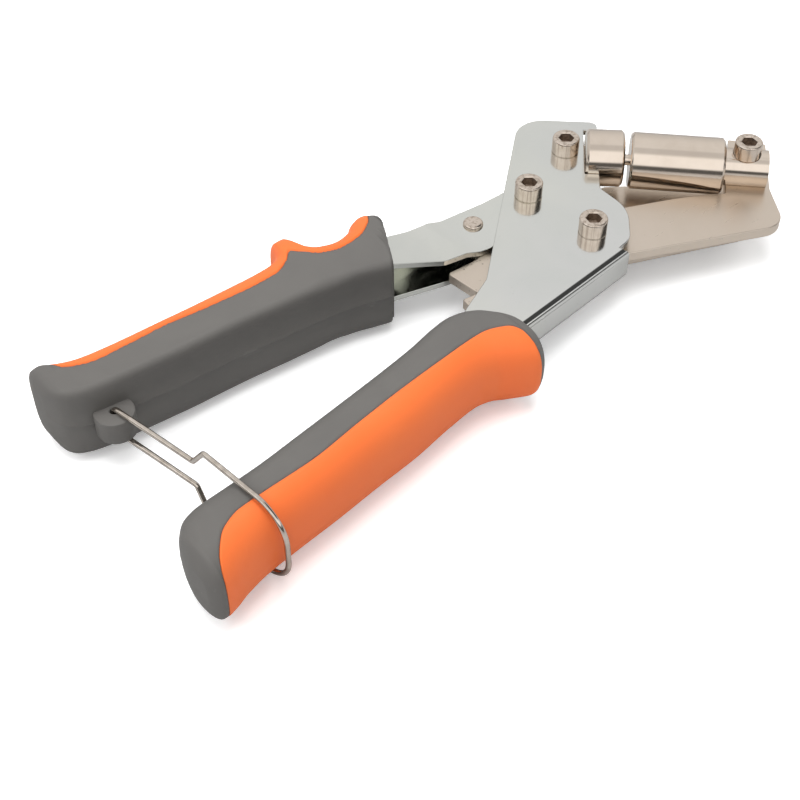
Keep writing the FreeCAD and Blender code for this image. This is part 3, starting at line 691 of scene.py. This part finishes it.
class Tree:
    """A geometry node group with named inputs."""

    def __init__(self, name, inputs):
        self.group = bpy.data.node_groups.new(name, "GeometryNodeTree")
        face = self.group.interface
        face.new_socket("Geometry", in_out="INPUT", socket_type="NodeSocketGeometry")
        self.keys = {}
        for label, kind, default in inputs:
            socket = face.new_socket(label, in_out="INPUT", socket_type=kind)
            if default is not None:
                socket.default_value = default
            self.keys[label] = socket.identifier
        face.new_socket("Geometry", in_out="OUTPUT", socket_type="NodeSocketGeometry")
        self.entry = self.group.nodes.new("NodeGroupInput")
        self.exit = self.group.nodes.new("NodeGroupOutput")

    def given(self, label):
        return self.entry.outputs[label]

    def add(self, kind, settings=None, sockets=None):
        return add_node(self.group, kind, settings, sockets)

    def math(self, operation, *values):
        return self.add("ShaderNodeMath", {"operation": operation}, dict(enumerate(values))).outputs[0]

    def times(self, first, second):
        return self.math("MULTIPLY", first, second)

    def minus(self, first, second):
        return self.math("SUBTRACT", first, second)

    def vector(self, x, y, z):
        return self.add("ShaderNodeCombineXYZ", {}, {0: x, 1: y, 2: z}).outputs[0]

    def vectors(self, operation, values):
        return self.add("ShaderNodeVectorMath", {"operation": operation}, values).outputs[0]

    def spot(self):
        """X, Y and Z of each element."""
        where = self.add("GeometryNodeInputPosition").outputs[0]
        return self.add("ShaderNodeSeparateXYZ", {}, {0: where}).outputs

    def hexagon(self, flats, limit):
        """Distance of a hexagon's side from the axis, held to a round limit."""
        x, y, _ = self.spot()
        sector = self.math("WRAP", self.math("ARCTAN2", y, x), math.pi / 6, -math.pi / 6)
        side = self.math("DIVIDE", self.times(flats, 0.5), self.math("COSINE", sector))
        return self.math("MINIMUM", side, limit)

    def ring(self, mesh, cap, radius, height):
        """Sets the chosen ring to a radius round the axis and to a height."""
        x, y, _ = self.spot()
        outward = self.vectors("NORMALIZE", {0: self.vector(x, y, 0.0)})
        flat = self.vectors("SCALE", {0: outward, "Scale": radius})
        place = self.vectors("ADD", {0: flat, 1: self.vector(0.0, 0.0, height)})
        return self.add("GeometryNodeSetPosition", {}, {
            "Geometry": mesh, "Selection": cap, "Position": place}).outputs[0]

    def grow(self, mesh, cap, radius, height):
        """A further ring on top of the cap, and the new cap."""
        node = self.add("GeometryNodeExtrudeMesh", {"mode": "FACES"}, {
            "Mesh": mesh, "Selection": cap, "Offset Scale": 0.0, "Individual": False})
        return self.ring(node.outputs[0], node.outputs[1], radius, height), node.outputs[1]

    def stored(self, name):
        """Number kept on each point."""
        kind = {"data_type": "FLOAT"}
        return self.add("GeometryNodeInputNamedAttribute", kind, {"Name": name}).outputs[0]

    def spread(self, piece, **sockets):
        """Copies of a piece on the given points."""
        values = {key.title(): value for key, value in sockets.items()}
        return self.add("GeometryNodeInstanceOnPoints", {}, {
            "Points": self.given("Geometry"), "Instance": piece, **values}).outputs[0]

    def coat(self, geometry, material, chosen=True):
        return self.add("GeometryNodeSetMaterial", {}, {
            "Geometry": geometry, "Selection": chosen, "Material": material}).outputs[0]

    def join(self, *parts):
        node = self.add("GeometryNodeJoinGeometry")
        for part in parts:
            self.group.links.new(part, node.inputs[0])
        return node.outputs[0]

    def close(self, geometry):
        real = self.add("GeometryNodeRealizeInstances", {}, {"Geometry": geometry})
        self.group.links.new(real.outputs[0], self.exit.inputs[0])


# Rounded rim of a screw head: shares of its radius and drops as shares of its height
HEAD_CROWN = ((1.0, 0.12), (0.991, 0.078), (0.97, 0.042), (0.94, 0.016), (0.905, 0.003), (0.87, 0.0))


def screw_tree():
    """Cap screws on the given points: rounded head, hexagon socket and each point's own shank."""
    t = Tree("Cap screws", (
        ("Head radius", "NodeSocketFloat", 0.005), ("Head height", "NodeSocketFloat", 0.006),
        ("Key size", "NodeSocketFloat", 0.005), ("Key depth", "NodeSocketFloat", 0.0034),
        ("Shank radius", "NodeSocketFloat", 0.003), ("Plating", "NodeSocketMaterial", None),
        ("Inside", "NodeSocketMaterial", None)))
    radius, height, key = t.given("Head radius"), t.given("Head height"), t.given("Key size")
    head = t.add("GeometryNodeMeshCylinder", {"fill_type": "NGON"}, {
        "Vertices": 96, "Side Segments": 2, "Radius": radius, "Depth": t.times(height, 2.0)})
    mesh, cap = head.outputs["Mesh"], head.outputs["Top"]
    mesh = t.ring(mesh, cap, radius, t.times(height, 1 - HEAD_CROWN[0][1]))
    for share, drop in HEAD_CROWN[1:]:
        mesh, cap = t.grow(mesh, cap, t.times(radius, share), t.times(height, 1 - drop))
    floor = t.minus(height, t.given("Key depth"))
    for share, limit, level in (
            (1.12, t.times(key, 0.625), height), (1.02, 1.0, t.minus(height, t.times(key, 0.06))),
            (1.0, 1.0, floor), (0.6, t.times(key, 0.28), t.minus(floor, t.times(key, 0.09)))):
        mesh, cap = t.grow(mesh, cap, t.hexagon(t.times(key, share), limit), level)
    mesh = t.coat(mesh, t.given("Plating"))
    x, y, z = t.spot()
    plan = t.math("SQRT", t.math("ADD", t.times(x, x), t.times(y, y)))
    # the inside of the socket takes the Inside material, which carries painted shade for the recess
    inside = t.times(t.math("LESS_THAN", plan, t.times(key, 0.585)), t.math("GREATER_THAN", z, 0.0))
    inside = t.times(inside, t.math("LESS_THAN", z, t.minus(height, t.times(key, 0.045))))
    mesh = t.coat(mesh, t.given("Inside"), inside)
    edge = t.times(height, 0.06)
    _, _, z = t.spot()
    mesh = t.ring(mesh, t.math("LESS_THAN", z, t.times(height, -0.5)), t.minus(radius, edge), 0.0)
    _, _, z = t.spot()
    outer = t.math("GREATER_THAN", plan, t.minus(radius, t.times(edge, 0.5)))
    level = t.times(t.math("LESS_THAN", z, t.times(height, 0.02)), outer)
    mesh = t.ring(mesh, level, radius, edge)
    heads = t.spread(mesh, rotation=t.vector(0.0, 0.0, t.stored("turn")))
    shank = t.add("GeometryNodeMeshCylinder", {"fill_type": "NGON"}, {
        "Vertices": 48, "Radius": t.given("Shank radius"), "Depth": 1.0}).outputs["Mesh"]
    shank = t.add("GeometryNodeTransform", {}, {"Geometry": shank, "Translation": (0, 0, -0.5)}).outputs[0]
    shanks = t.spread(t.coat(shank, t.given("Plating")), scale=t.vector(1.0, 1.0, t.stored("shank")))
    t.close(t.join(heads, shanks))
    return t


def nut_tree():
    """Chamfered hexagon nuts hanging below the given points."""
    t = Tree("Hexagon nuts", (
        ("Across flats", "NodeSocketFloat", 0.01), ("Nut height", "NodeSocketFloat", 0.005),
        ("Hole radius", "NodeSocketFloat", 0.003), ("Plating", "NodeSocketMaterial", None)))
    flats, height, hole = t.given("Across flats"), t.given("Nut height"), t.given("Hole radius")
    body = t.add("GeometryNodeMeshCylinder", {"fill_type": "NGON"}, {
        "Vertices": 96, "Radius": t.times(flats, 0.55), "Depth": height})
    mesh, cap = body.outputs["Mesh"], body.outputs["Bottom"]
    half, chamfer = t.times(height, 0.5), t.times(flats, 0.06)
    bottom = t.times(height, -0.5)
    mesh = t.ring(mesh, body.outputs["Top"], t.hexagon(flats, 1.0), half)
    mesh = t.ring(mesh, cap, t.hexagon(flats, 1.0), t.math("ADD", bottom, chamfer))
    mesh, cap = t.grow(mesh, cap, t.times(flats, 0.485), bottom)
    mesh, cap = t.grow(mesh, cap, t.times(hole, 1.14), bottom)
    mesh, cap = t.grow(mesh, cap, hole, t.math("ADD", bottom, t.times(chamfer, 0.7)))
    mesh = t.add("GeometryNodeTransform", {}, {
        "Geometry": mesh, "Translation": t.vector(0.0, 0.0, bottom)}).outputs[0]
    t.close(t.spread(t.coat(mesh, t.given("Plating")), rotation=t.vector(0.0, 0.0, t.stored("turn"))))
    return t


def wire_tree():
    """Round wire along the given edges, bent at each corner to the corner's own radius."""
    t = Tree("Bent wire", (
        ("Wire radius", "NodeSocketFloat", 0.0009), ("Steps per metre", "NodeSocketFloat", 1500.0),
        ("Plating", "NodeSocketMaterial", None)))
    line = t.add("GeometryNodeMeshToCurve", {}, {"Mesh": t.given("Geometry")}).outputs[0]
    bend = t.stored("bend")
    steps = t.math("ADD", t.times(bend, t.given("Steps per metre")), 6.0)
    bent = t.add("GeometryNodeFilletCurve", {"mode": "POLY"}, {
        "Curve": line, "Count": steps, "Radius": bend, "Limit Radius": True}).outputs[0]
    ring = t.add("GeometryNodeCurvePrimitiveCircle", {}, {
        "Resolution": 20, "Radius": t.given("Wire radius")}).outputs[0]
    tube = t.add("GeometryNodeCurveToMesh", {}, {
        "Curve": bent, "Profile Curve": ring, "Fill Caps": True}).outputs[0]
    t.close(t.coat(tube, t.given("Plating")))
    return t


def grown(name, tree, points, edges, values, facts=None, angle=35.0):
    """Runs a tree on points and edges and keeps the plain mesh it makes."""
    mesh = bpy.data.meshes.new(name)
    mesh.from_pydata([tuple(p) for p in points], list(edges), [])
    for key, numbers in (facts or {}).items():
        mesh.attributes.new(key, "FLOAT", "POINT").data.foreach_set("value", numbers)
    piece = new_piece(name, mesh)
    modifier = piece.modifiers.new("nodes", "NODES")
    modifier.node_group = tree.group
    for label, value in values.items():
        modifier[tree.keys[label]] = value
    bake_modifiers(piece)
    smooth(piece.data, angle)
    return piece


# Pieces

SHEET = (
    ("frame_channel", "sheet_frame", "frame_body", zinc_sheet, "zinc_sheet"),
    ("lever_channel", "sheet_lever", "lever_body", zinc_sheet, "zinc_sheet"),
    ("jaw_plate", "jaw_main", "jaw_body", satin_nickel, "nickel_plate"),
    ("jaw_cheek", "jaw_side", "jaw_body", satin_nickel, "nickel_plate"),
)
DIES = tuple((*row, polished_nickel, "polished_nickel") for row in (
    ("anvil_die", "die_fixed", "frame_body"),
    ("moving_die", "die_moving", "jaw_body"),
    ("die_pilot", "die_centre_pin", "jaw_body"),
    ("die_holder", "die_neck", "jaw_body"),
))
SMALL = tuple((*row, screw_steel, "screw_steel") for row in (
    ("anvil_lock_washer", "washer_anvil", "frame_body"),
    ("lever_lock_washer", "washer_lever", "frame_body"),
    ("lever_sleeve", "sleeve_lever", "frame_body"),
    ("jaw_sleeve", "sleeve_jaw", "frame_body"),
    ("jaw_washer_upper", "washer_jaw_top", "frame_body"),
    ("jaw_washer_lower", "washer_jaw_bottom", "frame_body"),
    ("jaw_spacer", "spacer_jaw", "jaw_body"),
    ("drive_pin", "pin_drive", "lever_body"),
    ("drive_roller", "roller_drive", "lever_body"),
))
# Turns of the hexagons in radians: the three of the frame, then the one of the jaw
SCREW_TURNS = (-0.175, -0.15, -0.20, -0.17)
NUT_TURNS = (0.3, 0.1, 0.45, 0.2)
WASHER_EDGE_SHARE = 0.7


def copies(rows, width):
    for node, name, body, material, slot_name in rows:
        settle(rounded_copy(node, name, material, width), body, slot_name, node)


def screw_group(name, body, nodes, turns):
    """Cap screws that stand for the nodes; each head's top is the node's top."""
    s, points, lengths = sizes(), [], []
    for node in nodes:
        low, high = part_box(node)
        points.append(((low.x + high.x) / 2, (low.y + high.y) / 2, high.z - s.head_height))
        lengths.append(high.z - s.head_height - low.z)
    # Inside gets the darker material: painted shade inside the sockets
    values = {"Head radius": s.head_radius, "Head height": s.head_height, "Key size": s.key_flats,
              "Plating": finish(screw_steel), "Inside": finish(socket_painted_shade)}
    piece = grown(name, screw_tree(), points, [], values, {"shank": lengths, "turn": turns})
    return settle(piece, body, "screw_steel", *nodes)


def nut_group(name, body, nodes, turns):
    points = []
    for node in nodes:
        low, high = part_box(node)
        points.append(((low.x + high.x) / 2, (low.y + high.y) / 2, high.z))
    values = {"Across flats": sizes().nut_flats, "Plating": finish(screw_steel)}
    piece = grown(name, nut_tree(), points, [], values, {"turn": turns})
    return settle(piece, body, "screw_steel", *nodes)


# Ear, narrow leg, jog and loop of the bail, in millimetres from the lever pivot
BAIL_HALF = ((*EAR_AT, 0.55), (*EAR_AT, 5.5), (-163.6, -26.9, 5.5), (-163.9, -34.4, 15.8),
             (-160.5, -69.4, 15.8))
LOOP_ROUND = 12.0


def bail_points():
    """Corners of the upper half, then the mirrored half."""
    return [tool(*p) for p in BAIL_HALF] + [tool(x, y, -z) for x, y, z in reversed(BAIL_HALF)]


# Operators


class PLIERS_OT_sheet(bpy.types.Operator):
    """Builds the stamped frame, lever and jaw plates with rounded edges"""

    bl_idname = "pliers.sheet"
    bl_label = "Sheet Metal"

    def execute(self, context):
        copies(SHEET, sizes().edge_round)
        return {"FINISHED"}


class PLIERS_OT_dies(bpy.types.Operator):
    """Builds the fixed die, the moving die, its centre pin and the neck"""

    bl_idname = "pliers.dies"
    bl_label = "Dies"

    def execute(self, context):
        copies(DIES, sizes().edge_round)
        return {"FINISHED"}


class PLIERS_OT_screws(bpy.types.Operator):
    """Builds the cap screws and nuts"""

    bl_idname = "pliers.screws"
    bl_label = "Screws and Nuts"

    def execute(self, context):
        frame_screws = ("anvil_screw", "lever_screw", "jaw_screw")
        frame_nuts = ("anvil_nut", "lever_nut", "jaw_nut")
        screw_group("screws_frame", "frame_body", frame_screws, SCREW_TURNS[:3])
        screw_group("screw_clamp", "jaw_body", ("clamp_screw",), SCREW_TURNS[3:])
        nut_group("nuts_frame", "frame_body", frame_nuts, NUT_TURNS[:3])
        nut_group("nut_clamp", "jaw_body", ("clamp_nut",), NUT_TURNS[3:])
        return {"FINISHED"}


class PLIERS_OT_small(bpy.types.Operator):
    """Builds washers, sleeves, the spacer, the drive pin and its roller"""

    bl_idname = "pliers.small"
    bl_label = "Washers and Pins"

    def execute(self, context):
        copies(SMALL, sizes().edge_round * WASHER_EDGE_SHARE)
        return {"FINISHED"}


class PLIERS_OT_wires(bpy.types.Operator):
    """Builds the locking bail and finishes the return spring"""

    bl_idname = "pliers.wires"
    bl_label = "Bail and Spring"

    def execute(self, context):
        s, points = sizes(), bail_points()
        edges = [(i, i + 1) for i in range(len(points) - 1)]
        values = {"Wire radius": s.wire_radius, "Plating": finish(wire_steel)}
        bends = [s.bend_radius] * 4 + [LOOP_ROUND * MM] * 2 + [s.bend_radius] * 4
        bail = grown("bail_wire", wire_tree(), points, edges, values, {"bend": bends})
        settle(bail, "bail_body", "bail_wire", "locking_bail")
        coil = frame["nodes"]["return_spring"].data.copy()
        coil.materials.clear()
        coil.materials.append(finish(wire_steel))
        smooth(coil, 60)
        settle(new_piece("spring_coil", coil), "frame_body", "spring_wire", "return_spring")
        return {"FINISHED"}


class PLIERS_OT_handles(bpy.types.Operator):
    """Builds both handles: hard cores, soft covers and the ear of the bail"""

    bl_idname = "pliers.handles"
    bl_label = "Handles"

    def execute(self, context):
        upper = Handle(LEVER_STATIONS, LEVER_SEAM, LEVER_POWERS, 1, LEVER_FRONT, LEVER_MOUTH)
        lower = Handle(FRAME_STATIONS, FRAME_SEAM, FRAME_POWERS, -1, FRAME_FRONT)
        settle(core_piece(upper, "handle_lever_core"), "lever_body", "grey_plastic", "lever_grip_core")
        settle(ear_piece("handle_lever_ear"), "lever_body", "grey_plastic")
        settle(cover_piece(upper, "handle_lever_cover"), "lever_body", "orange_rubber", "lever_grip_cover")
        settle(core_piece(lower, "handle_frame_core"), "frame_body", "grey_plastic", "frame_grip_core")
        settle(cover_piece(lower, "handle_frame_cover"), "frame_body", "orange_rubber", "frame_grip_cover")
        return {"FINISHED"}


def backdrop_material():
    """White floor that keeps a soft contact shadow."""
    material = bpy.data.materials.new("backdrop")
    material.use_nodes = True
    shader = material.node_tree.nodes["Principled BSDF"]
    tree = material.node_tree
    path = add_node(tree, "ShaderNodeLightPath").outputs

    def shade(share):
        return (*(value * share for value in colours().backdrop), 1.0)

    def tone(ray, first, last):
        return add_node(tree, "ShaderNodeMix", {"data_type": "RGBA"}, {
            0: path[ray], 6: first, 7: last}).outputs[2]

    unseen = tone("Is Glossy Ray", shade(FLOOR_BOUNCE), shade(FLOOR_MIRRORED))
    tree.links.new(tone("Is Camera Ray", unseen, shade(1.0)), shader.inputs["Base Color"])
    tree.links.new(tone("Is Camera Ray", shade(0.0), shade(1.0)), shader.inputs["Emission Color"])
    shader.inputs["Roughness"].default_value = 0.9
    shader.inputs["Specular IOR Level"].default_value = 0.0
    shader.inputs["Emission Strength"].default_value = FLOOR_GLOW
    return material


def studio_world():
    """White for the camera. Other rays see a pale room, bright overhead and dark behind the camera."""
    world = bpy.data.worlds.new("studio")
    world.use_nodes = True
    tree = world.node_tree
    tree.nodes.clear()

    def add(kind, settings=None, sockets=None):
        return add_node(tree, kind, settings, sockets)

    def step(value, low, high, first, last):
        return add("ShaderNodeMapRange", {"interpolation_type": "SMOOTHSTEP"}, {
            0: value, 1: low, 2: high, 3: first, 4: last}).outputs[0]

    def blend(factor, first, last):
        return add("ShaderNodeMix", {"data_type": "FLOAT"}, {0: factor, 2: first, 3: last}).outputs[0]

    def towards(direction):
        return add("ShaderNodeVectorMath", {"operation": "DOT_PRODUCT"}, {
            0: where, 1: direction}).outputs["Value"]

    where = add("ShaderNodeTexCoord").outputs["Generated"]
    up = add("ShaderNodeSeparateXYZ", {}, {0: where}).outputs[2]
    near = blend(step(up, *OVERHEAD_RISE), step(up, *BRIGHT_BAND), OVERHEAD)
    room = blend(step(towards(CAMERA_SIDE), *SIDE_RISE), step(up, *FAR_SIDE), near)
    room = blend(step(towards(DARK_GAP), *GAP_RISE), room, GAP_DARK)
    whole = blend(step(up, *HORIZON_RISE), BELOW_HORIZON, room)
    eye = add("ShaderNodeLightPath").outputs["Is Camera Ray"]
    shade = add("ShaderNodeBackground", {}, {"Strength": blend(eye, whole, 1.0)})
    shade.inputs["Color"].default_value = (1, 1, 1, 1)
    add("ShaderNodeOutputWorld", {}, {0: shade.outputs[0]})
    bpy.context.scene.world = world


# Shades of the floor for diffuse and for mirrored rays, and its glow for the camera
FLOOR_BOUNCE, FLOOR_MIRRORED, FLOOR_GLOW = 0.76, 0.44, 0.22
# The room: directions, then strengths that change from the first height or angle to the second
CAMERA_SIDE, DARK_GAP = (-0.643, -0.766, 0.0), (0.562, -0.321, 0.762)
BRIGHT_BAND, FAR_SIDE = (0.22, 0.38, 0.12, 1.18), (0.0, 0.9, 0.66, 0.86)
OVERHEAD, GAP_DARK, BELOW_HORIZON = 0.70, 0.06, 0.72
OVERHEAD_RISE, SIDE_RISE = (0.84, 0.95, 0.0, 1.0), (-0.05, 0.07, 0.0, 1.0)
GAP_RISE, HORIZON_RISE = (0.86, 0.93, 0.0, 1.0), (-0.02, 0.03, 0.0, 1.0)
FLOOR_HALF, FLOOR_LEVEL = 6.0, -0.00005
# Lens and sensor width in millimetres, nearest distance in metres; places from the lever pivot
CAMERA_LENS = (64.6, 36.0, 0.01)
CAMERA_AT, CAMERA_AIM = (-297.6, -282.9, 330.45), (-96.9, -43.8, 0.65)
LAMPS = (
    # name, place in mm from the lever pivot, aim, size x and y in mm, watts
    ("lamp_top", (-90, 20, 640), (-70, -20, 0), 560, 460, 3.4),
    ("lamp_left", (-560, 160, 420), (-90, -20, 0), 360, 300, 0.9),
    ("lamp_right", (420, -220, 420), (-60, -20, 0), 340, 300, 0.7),
)


def put(thing, place, aim):
    """Links a lamp or the camera, at its place and looking at its aim."""
    thing.location = tool(*place)
    thing.rotation_mode = "QUATERNION"
    thing.rotation_quaternion = (tool(*aim) - tool(*place)).to_track_quat("-Z", "Y")
    bpy.context.scene.collection.objects.link(thing)
    return thing


def lamp(name, place, aim, wide, deep, watts):
    light = bpy.data.lights.new(name, "AREA")
    light.shape, light.size, light.size_y, light.energy = "RECTANGLE", wide * MM, deep * MM, watts
    holder = bpy.data.objects.new(name, light)
    holder.visible_glossy = False
    return put(holder, place, aim)


class PLIERS_OT_stage(bpy.types.Operator):
    """Sets up floor, studio light and the camera of the photo"""

    bl_idname = "pliers.stage"
    bl_label = "Stage"

    def execute(self, context):
        mesh = bpy.data.meshes.new("floor")
        far, ground = FLOOR_HALF, FLOOR_LEVEL
        corners = [(-far, -far, ground), (far, -far, ground), (far, far, ground), (-far, far, ground)]
        mesh.from_pydata(corners, [], [(0, 1, 2, 3)])
        mesh.materials.append(backdrop_material())
        floor = new_piece("floor", mesh)
        lamps = [lamp(*row) for row in LAMPS]
        camera = bpy.data.objects.new("camera", bpy.data.cameras.new("camera"))
        camera.data.lens, camera.data.sensor_width, camera.data.clip_start = CAMERA_LENS
        context.scene.camera = put(camera, CAMERA_AT, CAMERA_AIM)
        studio_world()
        context.scene.view_settings.view_transform = "Standard"
        return {"FINISHED"}


class PLIERS_PT_panel(bpy.types.Panel):
    """Sizes, colours and build steps of the pliers"""

    bl_idname = "PLIERS_PT_panel"
    bl_label = "Eyelet Pliers"
    bl_space_type = "VIEW_3D"
    bl_region_type = "UI"
    bl_category = "Pliers"

    def draw(self, context):
        for group in (context.scene.pliers_sizes, context.scene.pliers_colours):
            column = self.layout.column()
            for key in group.bl_rna.properties.keys():
                if key not in ("rna_type", "name"):
                    column.prop(group, key)
        for operator in OPERATORS:
            self.layout.operator(operator.bl_idname)


OPERATORS = (PLIERS_OT_sheet, PLIERS_OT_dies, PLIERS_OT_screws, PLIERS_OT_small, PLIERS_OT_wires,
             PLIERS_OT_handles, PLIERS_OT_stage)
CLASSES = (PliersSizes, PliersColours, *OPERATORS, PLIERS_PT_panel)


def register():
    for item in CLASSES:
        bpy.utils.register_class(item)
    bpy.types.Scene.pliers_sizes = bpy.props.PointerProperty(type=PliersSizes)
    bpy.types.Scene.pliers_colours = bpy.props.PointerProperty(type=PliersColours)


def unregister():
    del bpy.types.Scene.pliers_colours
    del bpy.types.Scene.pliers_sizes
    for item in reversed(CLASSES):
        bpy.utils.unregister_class(item)


def main():
    register()
    for step in ("sheet", "dies", "screws", "small", "wires", "handles", "stage"):
        if getattr(bpy.ops.pliers, step)() != {"FINISHED"}:
            raise RuntimeError(f"the step {step} did not finish")
    bpy.context.view_layer.update()


if __name__ == "__main__":
    main()
